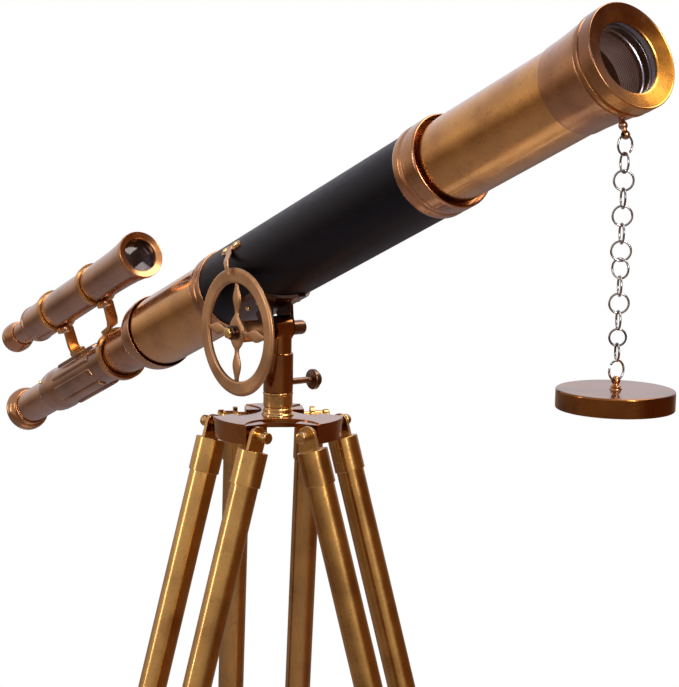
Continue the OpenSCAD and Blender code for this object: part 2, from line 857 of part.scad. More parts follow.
// Post under the dew sleeve with two balls; the lower ball is drilled for the chain.
module chain_stud() {
    hole_at = stud_reach;
    color("peru")
        on_scope()
            translate([stud_s, 0, 0])
                difference() {
                    union() {
                        translate([0, 0, -hole_at])
                            cylinder(r = 2, h = hole_at - 38.3);
                        translate([0, 0, -hole_at + 7])
                            sphere(r = eye_r);
                        translate([0, 0, -hole_at])
                            sphere(r = eye_r);
                    }
                    translate([0, 0, -hole_at])
                        y_rod(eye_hole_r, -10, 10);
                }
}

module chain_ring() {
    color("silver")
        translate([chain_x, 0, chain_top - ring_r])
            wire_ring(ring_r, 90);
}

// Plain rings, then a figure-eight link and the hook that holds the cap.
module chain_links() {
    color("silver")
        translate([chain_x, 0, 0]) {
            for (k = [0:len(link_angles) - 1])
                translate([0, 0, chain_top - ring_r - (k + 1) * link_pitch])
                    wire_ring(ring_r, link_angles[k]);
            translate([0, 0, eight_top - top_loop_r])
                wire_ring(top_loop_r, -33);
            translate([0, 0, eight_bottom + low_loop_r])
                wire_ring(low_loop_r, 57);
            translate([0, 0, hook_top - hook_loop_r])
                wire_ring(hook_loop_r, -33);
            translate([0, 0, hook_bottom + hook_r])
                wire_ring(hook_r, 90);
        }
}

module cap_stud() {
    color("peru")
        translate([chain_x, 0, cap_top])
            difference() {
                union() {
                    rotate_extrude()
                        polygon([[0, 0.05], [4.6, 0.05], [4.2, 0.9], [2.8, 1.3], [3.9, 1.7],
                            [3.9, 2.4], [2.4, 3.2], [2, 4.4], [0, 4.4]]);
                    translate([0, 0, cap_eye])
                        sphere(r = eye_r);
                }
                translate([0, 0, cap_eye])
                    y_rod(eye_hole_r, -10, 10);
            }
}

// Cap that slips over the flange, open on its underside.
module lens_cap() {
    wall_in = flange_r + 0.3;
    color("sienna")
        translate([chain_x, 0, cap_top])
            rotate_extrude()
                polygon([[0, 0], [cap_r - 1, 0], [cap_r - 0.3, -0.3], [cap_r, -1],
                    [cap_r, -cap_h + 0.5], [cap_r - 0.5, -cap_h], [wall_in, -cap_h],
                    [wall_in, -3], [0, -3]]);
}

tripod_head();
head_socket();
hinge_pins();
leg_tubes(1);  // leg_tubes_1
leg_tubes(2);  // leg_tubes_2
leg_tubes(3);  // leg_tubes_3
leg_ferrules(1);  // leg_ferrules_1
leg_ferrules(2);  // leg_ferrules_2
leg_ferrules(3);  // leg_ferrules_3
leg_clamp(1);  // leg_clamp_1
leg_clamp(2);  // leg_clamp_2
leg_clamp(3);  // leg_clamp_3
leg_thumbscrew(1);  // leg_thumbscrew_1
leg_thumbscrew(2);  // leg_thumbscrew_2
leg_thumbscrew(3);  // leg_thumbscrew_3
leg_guide(1);  // leg_guide_1
leg_guide(2);  // leg_guide_2
leg_guide(3);  // leg_guide_3
lower_tube(1);  // lower_tube_1
lower_tube(2);  // lower_tube_2
lower_tube(3);  // lower_tube_3
foot(1);  // foot_1
foot(2);  // foot_2
foot(3);  // foot_3
stem();
azimuth_thumbscrew();
pivot_bolt();
pivot_nut();
handwheel();
handwheel_nut();
saddle();
strap();
screws();
main_tube();
leather_cover();
front_collar();
rear_collar();
front_tube();
dew_sleeve();
objective_flange();
objective_lens();
lens_retainer();
rear_tube();
taper_sleeve();
focus_housing();
draw_tube();
eyepiece_cup();
eye_lens();
erector_lenses();
finder_tube();
finder_lens();
finder_brackets();
finder_draw_tube();
finder_eyepiece();
finder_eye_lens();
chain_stud();
chain_ring();
chain_links();
cap_stud();
lens_cap();
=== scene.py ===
"""Looks of a brass telescope on a tripod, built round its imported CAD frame."""

import json
import math

import bmesh
import bpy
from mathutils import Matrix, Vector


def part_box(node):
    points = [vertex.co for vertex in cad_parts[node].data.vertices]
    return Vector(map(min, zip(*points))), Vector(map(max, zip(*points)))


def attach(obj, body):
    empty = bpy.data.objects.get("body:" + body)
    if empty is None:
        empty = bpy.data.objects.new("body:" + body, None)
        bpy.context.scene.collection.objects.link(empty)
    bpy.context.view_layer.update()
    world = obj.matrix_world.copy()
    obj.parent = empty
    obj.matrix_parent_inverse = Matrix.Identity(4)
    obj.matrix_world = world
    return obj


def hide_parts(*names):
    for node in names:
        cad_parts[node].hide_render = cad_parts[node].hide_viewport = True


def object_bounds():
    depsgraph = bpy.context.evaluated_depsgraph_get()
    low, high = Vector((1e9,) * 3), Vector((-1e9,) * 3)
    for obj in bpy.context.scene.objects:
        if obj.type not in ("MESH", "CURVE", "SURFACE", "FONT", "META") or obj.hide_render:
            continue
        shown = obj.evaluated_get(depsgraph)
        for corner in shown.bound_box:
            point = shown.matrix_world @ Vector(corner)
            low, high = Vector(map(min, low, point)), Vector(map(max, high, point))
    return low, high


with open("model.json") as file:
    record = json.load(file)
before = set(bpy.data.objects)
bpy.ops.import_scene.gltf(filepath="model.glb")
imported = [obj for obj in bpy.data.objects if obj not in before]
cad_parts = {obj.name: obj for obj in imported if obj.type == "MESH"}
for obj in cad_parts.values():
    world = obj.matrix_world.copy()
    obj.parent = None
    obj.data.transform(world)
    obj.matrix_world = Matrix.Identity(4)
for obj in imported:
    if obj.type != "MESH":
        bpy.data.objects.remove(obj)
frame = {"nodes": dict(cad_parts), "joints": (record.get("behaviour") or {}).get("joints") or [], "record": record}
cad_low, cad_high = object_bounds()
joints = {j["name"]: j for j in frame["joints"]}
MM = 0.001

# Stations along the telescope and the finder, in millimetres from their origins.
TUBE_MIDDLE = 98
FINDER_LENS = -166
THREAD_PITCH = 1.9
LEG_HALF_GAP = 33.7
LEG_TUBE_END = 653
WIRE = 0.8

# ---- Frames ----


def joint_at(name):
    return Vector(joints[name]["pos_m"])


def joint_axis(name):
    return Vector(joints[name]["axis"]).normalized()


def middle(node):
    low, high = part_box(node)
    return (low + high) / 2


def basis(origin, along, up):
    """A frame with X along one direction and Z as near as possible to another."""
    x = along.normalized()
    y = up.cross(x).normalized()
    z = x.cross(y)
    turn = Matrix((x, y, z)).transposed().to_4x4()
    return Matrix.Translation(origin) @ turn


UP = Vector((0, 0, 1))
ahead = -joint_axis("focus")
scope_origin = middle("main_tube") - ahead * TUBE_MIDDLE * MM
finder_origin = middle("finder_lens") - ahead * FINDER_LENS * MM
SCOPE = basis(scope_origin, ahead, UP)
FINDER = basis(finder_origin, ahead, finder_origin - scope_origin)
HEAD = basis(Vector((0, 0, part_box("tripod_head")[1].z)), UP, Vector((1, 0, 0)))
TRUNNION = joint_at("altitude")
WHEEL = basis(joint_at("handwheel_turn"), joint_axis("handwheel_turn"), UP)
CAP = basis(
    Vector((joint_at("cap_tip").x, 0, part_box("lens_cap")[1].z)), UP, Vector((1, 0, 0))
)
LEGS = {}
for leg in (1, 2, 3):
    down = joint_axis(f"leg_extend_{leg}")
    outward = Vector((down.x, down.y, 0))
    LEGS[leg] = basis(joint_at(f"leg_fold_{leg}"), down, outward)

# ---- Materials ----


def shader(name):
    """A new material: it, its nodes, its links and its surface shader."""
    mat = bpy.data.materials.new(name)
    mat.use_nodes = True
    nodes = mat.node_tree.nodes
    nodes.clear()
    out = nodes.new("ShaderNodeOutputMaterial")
    bsdf = nodes.new("ShaderNodeBsdfPrincipled")
    mat.node_tree.links.new(bsdf.outputs[0], out.inputs[0])
    return mat, nodes, mat.node_tree.links, bsdf


def noise(nodes, links, scale, detail=4.0, stretch=(1, 1, 1)):
    where = nodes.new("ShaderNodeTexCoord")
    place = nodes.new("ShaderNodeMapping")
    place.inputs["Scale"].default_value = stretch
    tex = nodes.new("ShaderNodeTexNoise")
    tex.inputs["Scale"].default_value = scale
    tex.inputs["Detail"].default_value = detail
    links.new(where.outputs["Object"], place.inputs["Vector"])
    links.new(place.outputs[0], tex.inputs["Vector"])
    return tex.outputs["Fac"]


def ramp(nodes, links, value, stops):
    node = nodes.new("ShaderNodeValToRGB")
    links.new(value, node.inputs[0])
    steps = node.color_ramp.elements
    while len(steps) < len(stops):
        steps.new(0.5)
    for step, (at, colour) in zip(steps, stops):
        step.position = at
        step.color = (*colour, 1)
    return node.outputs[0]


def spread(nodes, links, value, low, high):
    """Stretches the middle of a noise over a range."""
    node = nodes.new("ShaderNodeMapRange")
    links.new(value, node.inputs["Value"])
    node.inputs["From Min"].default_value = 0.3
    node.inputs["From Max"].default_value = 0.7
    node.inputs["To Min"].default_value = low
    node.inputs["To Max"].default_value = high
    return node.outputs[0]


def bump(nodes, links, height, strength, distance):
    node = nodes.new("ShaderNodeBump")
    node.inputs["Strength"].default_value = strength
    node.inputs["Distance"].default_value = distance
    links.new(height, node.inputs["Height"])
    return node.outputs[0]


def paint_side_shade(nodes, links, side, near, shade_colour):
    """Paints shade on one side: fades from one colour to another across the object, with a ragged edge."""
    direction, reach = side
    where = nodes.new("ShaderNodeTexCoord")
    along = nodes.new("ShaderNodeVectorMath")
    along.operation = "DOT_PRODUCT"
    along.inputs[1].default_value = direction
    links.new(where.outputs["Object"], along.inputs[0])
    ragged = nodes.new("ShaderNodeMath")
    ragged.operation = "MULTIPLY_ADD"
    ragged.inputs[1].default_value = reach * 1.6
    links.new(noise(nodes, links, 30, 5), ragged.inputs[0])
    links.new(along.outputs["Value"], ragged.inputs[2])
    share = nodes.new("ShaderNodeMapRange")
    share.inputs["From Min"].default_value = -0.1 * reach
    share.inputs["From Max"].default_value = 1.7 * reach
    links.new(ragged.outputs[0], share.inputs["Value"])
    mix = nodes.new("ShaderNodeMix")
    mix.data_type = "RGBA"
    links.new(share.outputs[0], mix.inputs["Factor"])
    mix.inputs["A"].default_value = (*shade_colour, 1)
    links.new(near, mix.inputs["B"])
    return mix.outputs["Result"]


def shade(colour, by):
    return tuple(min(1.0, c * by) for c in colour)


def metal(name, colour, tarnish_and_shade, rough, spots=0.25, lines=0.03, coat=0.5, side=None):
    """Old lacquered metal: clouds of tarnished colour, small spots, and fine turned lines.

    With side, (direction, reach), the darker colour is also painted over the side away from that direction:
    painted shade on one side.
    """
    mat, nodes, links, bsdf = shader(name)
    clouds = noise(nodes, links, 26, 6)
    body = ramp(
        nodes,
        links,
        clouds,
        [(0.30, tarnish_and_shade), (0.47, shade(colour, 0.9)), (0.60, colour), (0.8, shade(colour, 1.15))],
    )
    specks = ramp(
        nodes, links, noise(nodes, links, 420, 3), [(0.30, (1 - spots,) * 3), (0.42, (1, 1, 1))]
    )
    mix = nodes.new("ShaderNodeMix")
    mix.data_type = "RGBA"
    mix.blend_type = "MULTIPLY"
    mix.inputs["Factor"].default_value = 1.0
    # Painted shade: the side away from the given direction turns to the darker colour.
    if side:
        body = paint_side_shade(nodes, links, side, body, tarnish_and_shade)
    links.new(body, mix.inputs["A"])
    links.new(specks, mix.inputs["B"])
    links.new(mix.outputs["Result"], bsdf.inputs["Base Color"])
    bsdf.inputs["Metallic"].default_value = 1.0
    links.new(
        spread(nodes, links, noise(nodes, links, 60, 5), rough * 0.75, rough * 1.4),
        bsdf.inputs["Roughness"],
    )
    turned = noise(nodes, links, 40, 3, (60, 1, 1))
    links.new(bump(nodes, links, turned, lines, 0.001), bsdf.inputs["Normal"])
    bsdf.inputs["Coat Weight"].default_value = coat
    bsdf.inputs["Coat Roughness"].default_value = 0.12
    return mat


def leather_material():
    """Black grained leather with a faint blue sheen."""
    mat, nodes, links, bsdf = shader("leather")
    grain = noise(nodes, links, 900, 5)
    folds = noise(nodes, links, 90, 4, (1, 3, 3))
    links.new(
        ramp(nodes, links, folds, [(0.3, (0.002, 0.002, 0.003)), (0.7, (0.005, 0.004, 0.006))]),
        bsdf.inputs["Base Color"],
    )
    links.new(spread(nodes, links, folds, 0.34, 0.44), bsdf.inputs["Roughness"])
    links.new(bump(nodes, links, grain, 0.25, 0.0004), bsdf.inputs["Normal"])
    bsdf.inputs["Specular IOR Level"].default_value = 0.19
    bsdf.inputs["Specular Tint"].default_value = (0.84, 0.80, 1.0, 1)
    return mat


def ground_material():
    """The ground edge of a lens: pale, dull and slightly blue."""
    mat, nodes, links, bsdf = shader("ground_glass")
    haze = noise(nodes, links, 80, 4)
    links.new(
        ramp(nodes, links, haze, [(0.3, (0.42, 0.47, 0.52)), (0.7, (0.62, 0.66, 0.70))]),
        bsdf.inputs["Base Color"],
    )
    bsdf.inputs["Roughness"].default_value = 0.45
    return mat


def thread_shading_material():
    """The inside of the objective's cell: its crests painted bright and its roots painted dark, a painted
    highlight and painted shade in stripes along the threads.
    """
    mat, nodes, links, bsdf = shader("painted_thread_shading")
    where = nodes.new("ShaderNodeTexCoord")
    wave = nodes.new("ShaderNodeTexWave")
    wave.inputs["Scale"].default_value = 2 * math.pi / (20 * THREAD_PITCH * MM)
    wave.inputs["Distortion"].default_value = 0.4
    links.new(where.outputs["Object"], wave.inputs["Vector"])
    # Painted highlight on the thread crests and painted shade in the roots.
    crest_highlight_root_shade = ramp(
        nodes, links, wave.outputs["Fac"], [(0.3, (0.42, 0.32, 0.28)), (0.7, (1.0, 0.88, 0.80))]
    )
    links.new(crest_highlight_root_shade, bsdf.inputs["Base Color"])
    bsdf.inputs["Metallic"].default_value = 0.3
    links.new(
        spread(nodes, links, noise(nodes, links, 60, 5), 0.26, 0.38), bsdf.inputs["Roughness"]
    )
    return mat


def glass_material():
    """Thin coated glass: clear straight on, and more of a mirror at a slant."""
    mat, nodes, links, bsdf = shader("glass")
    nodes.remove(bsdf)
    haze = noise(nodes, links, 70, 4)
    clear = nodes.new("ShaderNodeBsdfTransparent")
    links.new(
        ramp(nodes, links, haze, [(0.3, (0.90, 0.88, 0.92)), (0.7, (0.97, 0.96, 0.98))]),
        clear.inputs["Color"],
    )
    gloss = nodes.new("ShaderNodeBsdfGlossy")
    links.new(
        ramp(nodes, links, haze, [(0.3, (0.78, 0.74, 0.86)), (0.7, (0.95, 0.93, 1.0))]),
        gloss.inputs["Color"],
    )
    gloss.inputs["Roughness"].default_value = 0.03
    slant = nodes.new("ShaderNodeLayerWeight")
    slant.inputs["Blend"].default_value = 0.2
    share = nodes.new("ShaderNodeMapRange")
    share.inputs["To Min"].default_value = 0.05
    share.inputs["To Max"].default_value = 0.28
    links.new(slant.outputs["Facing"], share.inputs["Value"])
    mix = nodes.new("ShaderNodeMixShader")
    links.new(share.outputs[0], mix.inputs[0])
    links.new(clear.outputs[0], mix.inputs[1])
    links.new(gloss.outputs[0], mix.inputs[2])
    out = next(n for n in nodes if n.type == "OUTPUT_MATERIAL")
    links.new(mix.outputs[0], out.inputs[0])
    return mat


MATERIALS = {
    "dark_brass": metal("dark_brass", (0.42, 0.15, 0.03), (0.20, 0.065, 0.015), 0.15, coat=0.6),
    "leg_brass": metal("leg_brass", (0.68, 0.38, 0.11), (0.44, 0.22, 0.06), 0.19, coat=0.6),
    "copper_brass": metal("copper_brass", (0.54, 0.24, 0.09), (0.33, 0.13, 0.055), 0.22, coat=0.8),
    "tube_brass": metal("tube_brass", (0.74, 0.35, 0.09), (0.50, 0.21, 0.06), 0.20, coat=0.8),
    "bright_brass": metal("bright_brass", (0.92, 0.64, 0.25), (0.66, 0.40, 0.14), 0.15),
    "leather": leather_material(),
    "glass": glass_material(),
    "steel_wire": metal("steel_wire", (0.40, 0.39, 0.39), (0.12, 0.115, 0.115), 0.14, 0.4, 0.0),
}
GROUND = ground_material()
THREAD_SHADING = thread_shading_material()
STEEL = metal("dull_steel", (0.52, 0.55, 0.58), (0.30, 0.32, 0.35), 0.24, 0.2, 0.0)
BROWN = metal("brown_brass", (0.44, 0.22, 0.11), (0.26, 0.12, 0.07), 0.22, coat=0.8)
CAP_BRASS = metal("cap_brass", (0.32, 0.11, 0.02), (0.13, 0.04, 0.01), 0.14, coat=0.3)
ORANGE = metal("orange_brass", (0.66, 0.34, 0.10), (0.42, 0.19, 0.06), 0.22, coat=0.8)
PINK = metal("pink_brass", (0.52, 0.27, 0.15), (0.36, 0.18, 0.10), 0.22, coat=0.8)
IRON = metal("browned_iron", (0.24, 0.13, 0.08), (0.11, 0.06, 0.04), 0.28)
SATIN = metal("satin_copper", (0.64, 0.35, 0.17), (0.46, 0.24, 0.11), 0.40, 0.12, 0.02, 0.3)
GOLDEN = metal("golden_brass", (0.84, 0.50, 0.18), (0.52, 0.26, 0.09), 0.18)
# Very dark brown brass: painted shade on the saddle, which sits in shadow under the tube. The handwheel nut's
# collar uses it too.
SHADE = metal("shaded_brass", (0.10, 0.045, 0.03), (0.05, 0.025, 0.02), 0.26)
# The objective's flange face: its upper side is painted darker, painted shade standing in for the darker
# surroundings it reflects.
FACE = metal(
    "face_brass", (0.80, 0.34, 0.04), (0.30, 0.13, 0.06), 0.24, side=((0, 0.8, -0.6), 0.04)
)

slot_of = {p["node"]: p["material_slot"] for p in frame["record"]["subparts"]}
body_of = {
    member: body
    for body, members in frame["record"]["behaviour"]["bodies"].items()
    for member in members
}

# ---- Building ----


def piece(name, mesh, place, nodes_replaced, material=None):
    """A visible piece on its body, in the slot and place of the CAD nodes it replaces."""
    obj = bpy.data.objects.new(name, mesh)
    bpy.context.scene.collection.objects.link(obj)
    obj.matrix_world = place
    first = nodes_replaced[0]
    slot = slot_of[first]
    mesh.materials.append(material or MATERIALS[slot])
    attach(obj, body_of[first])
    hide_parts(*nodes_replaced)
    return obj


def rounded(points, radius):
    """Rounds the corners of a closed outline given as (radius, station) pairs."""
    out = []
    for i, corner in enumerate(points):
        p = Vector(corner)
        a = Vector(points[i - 1]) - p
        b = Vector(points[(i + 1) % len(points)]) - p
        if p.x < 0.001 or (-a).angle(b, 0) < math.radians(6):
            out.append(p)
            continue
        reach = min(radius, 0.45 * a.length, 0.45 * b.length)
        start, end = p + a.normalized() * reach, p + b.normalized() * reach
        for k in range(5):
            u = k / 4
            out.append(start * (1 - u) ** 2 + p * 2 * u * (1 - u) + end * u * u)
    return out


def finish_mesh(bm, name):
    """Welds a built mesh, turns its faces outwards and smooths it."""
    bmesh.ops.remove_doubles(bm, verts=bm.verts, dist=1e-7)
    bmesh.ops.recalc_face_normals(bm, faces=bm.faces)
    mesh = bpy.data.meshes.new(name)
    bm.to_mesh(mesh)
    bm.free()
    mesh.shade_smooth()
    return mesh


def add_lathe(bm, outline, turns, radius):
    """Turns a closed outline of (radius, station) pairs in millimetres round X."""
    ring = rounded(outline, radius)
    rows = []
    for p in ring:
        if p.x < 0.001:
            rows.append([bm.verts.new((p.y * MM, 0, 0))] * turns)
            continue
        rows.append(
            [
                bm.verts.new(
                    (
                        p.y * MM,
                        p.x * MM * math.cos(2 * math.pi * k / turns),
                        p.x * MM * math.sin(2 * math.pi * k / turns),
                    )
                )
                for k in range(turns)
            ]
        )
    for i, row in enumerate(rows):
        other = rows[i - 1]
        for k in range(turns):
            corners = [row[k], row[(k + 1) % turns], other[(k + 1) % turns], other[k]]
            kept = [v for n, v in enumerate(corners) if v not in corners[:n]]
            if len(kept) > 2:
                bm.faces.new(kept)


def weigh_normals(obj):
    mod = obj.modifiers.new("normals", "WEIGHTED_NORMAL")
    mod.weight = 100
    return obj


def lathe(name, outline, place, nodes, material=None, turns=160, radius=0.25):
    bm = bmesh.new()
    add_lathe(bm, outline, turns, radius)
    weigh_normals(piece(name, finish_mesh(bm, name), place, nodes, material))


def from_cad(name, node, width, material=None):
    """A copy of a CAD node's mesh with its sharp edges eased."""
    bm = bmesh.new()
    bm.from_mesh(frame["nodes"][node].data)
    bmesh.ops.remove_doubles(bm, verts=bm.verts, dist=1e-6)
    bmesh.ops.dissolve_limit(
        bm, angle_limit=math.radians(0.5), verts=bm.verts, edges=bm.edges
    )
    obj = piece(name, finish_mesh(bm, name), Matrix.Identity(4), [node], material)
    mod = obj.modifiers.new("edges", "BEVEL")
    mod.width = width * MM
    mod.segments = 3
    mod.limit_method = "ANGLE"
    mod.angle_limit = math.radians(32)
    mod.miter_outer = "MITER_ARC"
    return weigh_normals(obj)


def add_ring(bm, place, ring, gap):
    """A wire ring, or with gap, (middle, width) in degrees, a ring open at that place."""
    turns, sides = 48, 14
    first, span = 0.0, 360.0
    if gap:
        first, span = gap[0] + gap[1] / 2, 360.0 - gap[1]
    rows = []
    for k in range(turns):
        a = math.radians(first + span * k / (turns - 1 if gap else turns))
        row = []
        for m in range(sides):
            b = 2 * math.pi * m / sides
            out = ring + WIRE * math.cos(b)
            p = Vector((out * math.cos(a), WIRE * math.sin(b), out * math.sin(a))) * MM
            row.append(bm.verts.new(place @ p))
        rows.append(row)
    for k in range(1 if gap else 0, turns):
        for m in range(sides):
            n = (m + 1) % sides
            bm.faces.new([rows[k - 1][m], rows[k][m], rows[k][n], rows[k - 1][n]])
    if gap:
        bm.faces.new(rows[0])
        bm.faces.new(rows[-1][::-1])


# ---- Telescope ----

lathe("main_tube_piece", [(35, -72), (36, -72), (36, 268), (35, 268)], SCOPE, ["main_tube"])
lathe(
    "leather_piece",
    [(36.05, -56), (37.2, -56), (37.2, 252), (36.05, 252)],
    SCOPE,
    ["leather_cover"],
    radius=0.8,
)
lathe(
    "front_collar_piece",
    [
        (36.05, 252.1), (38.2, 252.1), (38.9, 253), (39.5, 255), (39.5, 260.2), (38.8, 261.8),
        (38.2, 262.6), (38.2, 265.2), (38.8, 266), (39.5, 267.6), (39.5, 279), (39, 280.6),
        (38.2, 281), (37.7, 280.4), (37.6, 271), (34.65, 271), (34.65, 268.05), (36.05, 268.05),
    ],
    SCOPE,
    ["front_collar"],
    radius=0.5,
)
lathe(
    "rear_collar_piece",
    [
        (36.05, -56.1), (38.2, -56.1), (38.6, -57.5), (38.8, -59.5), (38.4, -62), (37.6, -63.4),
        (37.6, -65), (38.2, -66.4), (38.4, -69), (38.2, -72), (37.4, -75), (35.6, -76),
        (34.95, -76), (34.95, -72.1), (36.05, -72.1),
    ],
    SCOPE,
    ["rear_collar"],
    radius=0.6,
)
lathe(
    "front_tube_piece",
    [(33.2, 236), (34.6, 236), (34.6, 468), (33.2, 468)],
    SCOPE,
    ["front_tube"],
)
lathe(
    "dew_sleeve_piece",
    [
        (34.65, 424), (35.1, 424), (35.5, 425), (35.8, 435), (36.6, 446), (37.8, 457),
        (38.6, 466.5), (34.65, 466.5),
    ],
    SCOPE,
    ["dew_sleeve"],
    radius=3,
)
lathe(
    "objective_flange_piece",
    [
        (26.7, 481), (27.7, 481.6), (38.6, 484.6), (39.2, 485), (39.8, 484.7), (40, 484),
        (40, 474.6), (39.5, 473.8), (38.4, 473.4), (38.4, 472), (39.5, 471.6), (39.7, 470.8),
        (39.7, 468.4), (39, 467.6), (30.4, 467.6), (30.4, 479), (26.7, 479),
    ],
    SCOPE,
    ["objective_flange"],
    material=FACE,
    turns=256,
    radius=0.3,
)
cell = [(30.4, 467.5), (32.9, 467.5), (32.9, 440)]
for thread in range(14):
    crest = 440.2 + THREAD_PITCH * thread
    cell += [(30.4, crest), (30.95, crest + THREAD_PITCH / 2)]
# The cell's threads carry painted highlight and painted shade in their material.
lathe(
    "objective_cell_piece",
    cell,
    SCOPE,
    ["objective_flange"],
    material=THREAD_SHADING,
    turns=192,
    radius=0.05,
)


def lens_outline(radius, thick, bulge, middle_at):
    """A lens bulging on both sides: its outline from the axis out and back."""
    sag = bulge - math.sqrt(bulge * bulge - radius * radius)
    edge = thick / 2 - sag
    steps = 12
    front, back = [], []
    for k in range(steps + 1):
        r = radius * k / steps
        rise = math.sqrt(bulge * bulge - r * r) - math.sqrt(bulge * bulge - radius * radius)
        front.append((r, middle_at + edge + rise))
        back.append((r, middle_at - edge - rise))
    return front + back[::-1]


lathe(
    "objective_lens_piece",
    lens_outline(29.2, 7, 300, 475.1),
    SCOPE,
    ["objective_lens"],
    turns=192,
    radius=0.1,
)
lathe(
    "objective_lens_edge_piece",
    [(29.25, 473.1), (30, 473.1), (30, 477), (29.25, 477)],
    SCOPE,
    ["objective_lens"],
    material=GROUND,
    turns=192,
    radius=0.2,
)
lathe(
    "lens_retainer_piece",
    [
        (27.4, 462), (30.2, 462), (30.2, 472.6), (27.6, 472.6), (27.6, 470.4), (28.4, 470),
        (28.4, 466), (27.4, 465.4),
    ],
    SCOPE,
    ["lens_retainer"],
    material=STEEL,
    turns=192,
    radius=0.3,
)
lathe(
    "rear_tube_piece",
    [(33.4, -214), (34.9, -214), (34.9, -44), (33.4, -44)],
    SCOPE,
    ["rear_tube"],
)
lathe(
    "taper_sleeve_piece",
    [
        (34.95, -216), (34.95, -206), (36.1, -201), (36.6, -200), (37.2, -200.6), (37.3, -203),
        (37.1, -210), (36, -217), (33, -223.5), (28, -228.5), (24.4, -231.5), (23.6, -234),
        (23.6, -283), (22.6, -285), (18.5, -285), (18.5, -238), (24, -228), (31, -219.5),
        (33.2, -216),
    ],
    SCOPE,
    ["taper_sleeve"],
    radius=2.4,
)


def focus_housing():
    """A turned housing with eight long raised panels let into its middle."""
    bm = bmesh.new()
    add_lathe(
        bm,
        [
            (18.7, -285.2), (24.6, -285.2), (25.4, -286.4), (25.4, -291), (24.2, -293),
            (22.4, -296), (21.6, -301), (21.6, -411), (22.6, -417), (23.4, -423), (23, -435),
            (22.2, -442), (21, -445), (18.7, -445),
        ],
        160,
        1.5,
    )
    root, flat, rise = 20.2, 21.3, 2.9
    half_turn = math.asin(5.4 / (flat + rise))
    stations = [
        (-407, 0.0), (-405.5, 0.72), (-403, 1.0), (-330, 1.0), (-327.5, 0.96), (-324, 0.72),
        (-322.5, 0.0),
    ]

    def corner(s, r, a):
        return bm.verts.new((s * MM, -r * MM * math.sin(a), r * MM * math.cos(a)))

    for q in range(8):
        centre = math.radians(45 * q + 22.5)
        rows = []
        for s, lift in stations:
            width = half_turn * (0.93 if lift < 0.1 else 1)
            row = []
            for m in range(13):
                t = -1 + m / 6
                edge = 1 if abs(t) < 0.9 else 0.25
                row.append(corner(s, flat + rise * lift * edge, centre + width * t))
            rows.append(row)
        base = [
            [corner(s, root, centre + half_turn * t) for t in (-0.93, 0.93)]
            for s in (stations[0][0], stations[-1][0])
        ]
        for k in range(len(rows) - 1):
            for m in range(12):
                bm.faces.new([rows[k][m], rows[k][m + 1], rows[k + 1][m + 1], rows[k + 1][m]])
        bm.faces.new([*rows[0][::-1], *base[0]])
        bm.faces.new([*rows[-1], *base[1][::-1]])
        for side, end in ((0, 0), (12, 1)):
            bm.faces.new([*[row[side] for row in rows], base[1][end], base[0][end]])
        bm.faces.new([base[0][0], base[0][1], base[1][1], base[1][0]])
    mesh = finish_mesh(bm, "focus_housing")
    weigh_normals(
        piece("focus_housing_piece", mesh, SCOPE, ["focus_housing"], material=BROWN)
    )


focus_housing()
lathe(
    "draw_tube_piece",
    [(17, -514), (18.4, -514), (18.4, -300), (17, -300)],
    SCOPE,
    ["draw_tube"],
    material=PINK,
)
lathe(
    "eyepiece_cup_piece",
    [
        (18.45, -509), (19.8, -509), (20.2, -510.5), (19.6, -512), (20.4, -513.2), (22.8, -515.4),
        (24.2, -518), (24.5, -520.4), (23.5, -521.6), (24.5, -522.8), (24.2, -525.6),
        (22.6, -528), (20.4, -529), (14, -525), (8, -523), (8, -520), (16.8, -520),
        (16.8, -514.1), (18.45, -514.1),
    ],
    SCOPE,
    ["eyepiece_cup"],
    radius=0.8,
)
lathe(
    "eye_lens_piece",
    lens_outline(16.5, 6, 60, -511.6),
    SCOPE,
    ["eye_lens"],
    turns=96,
    radius=0.1,
)

# ---- Finder ----

lathe(
    "finder_front_piece",
    [
        (16.4, -161.9), (16.4, -156.4), (17, -155.6), (22.6, -154.2), (23.1, -154),
        (23.5, -155), (23.5, -159.4), (22.8, -160.3), (17.75, -160.3), (17.75, -161.9),
    ],
    FINDER,
    ["finder_tube"],
    material=MATERIALS["copper_brass"],
    radius=0.6,
)
lathe(
    "finder_tube_piece",
    [
        (17.7, -160.4), (22.75, -160.4), (22, -168), (20.6, -182), (19.7, -202), (19.3, -224),
        (19.3, -392), (20, -393), (20, -396), (18.6, -399), (16, -400), (12.6, -400),
        (12.6, -397), (17.9, -391), (17.7, -220),
    ],
    FINDER,
    ["finder_tube"],
    material=PINK,
    radius=0.8,
)
lathe(
    "finder_lens_piece",
    lens_outline(17.5, 6, 60, FINDER_LENS),
    FINDER,
    ["finder_lens"],
    turns=96,
    radius=0.1,
)
lathe(
    "finder_draw_tube_piece",
    [(11.3, -438), (12.5, -438), (12.5, -340), (11.3, -340)],
    FINDER,
    ["finder_draw_tube"],
    material=PINK,
)
lathe(
    "finder_eyepiece_piece",
    [
        (12.55, -432), (13.8, -432), (14.2, -435), (15.4, -439), (16.4, -444), (16.4, -448),
        (15.6, -449.2), (16.2, -450.4), (16, -454), (14.4, -456.6), (12.8, -457), (9, -454),
        (5.5, -452), (5.5, -448), (11.2, -448), (11.2, -438.1), (12.55, -438.1),
    ],
    FINDER,
    ["finder_eyepiece"],
    radius=0.8,
)
lathe(
    "finder_eye_lens_piece",
    lens_outline(10.9, 4, 40, -443),
    FINDER,
    ["finder_eye_lens"],
    turns=96,
    radius=0.1,
)
from_cad("finder_brackets_piece", "finder_brackets", 0.5, ORANGE)

# ---- Mount ----

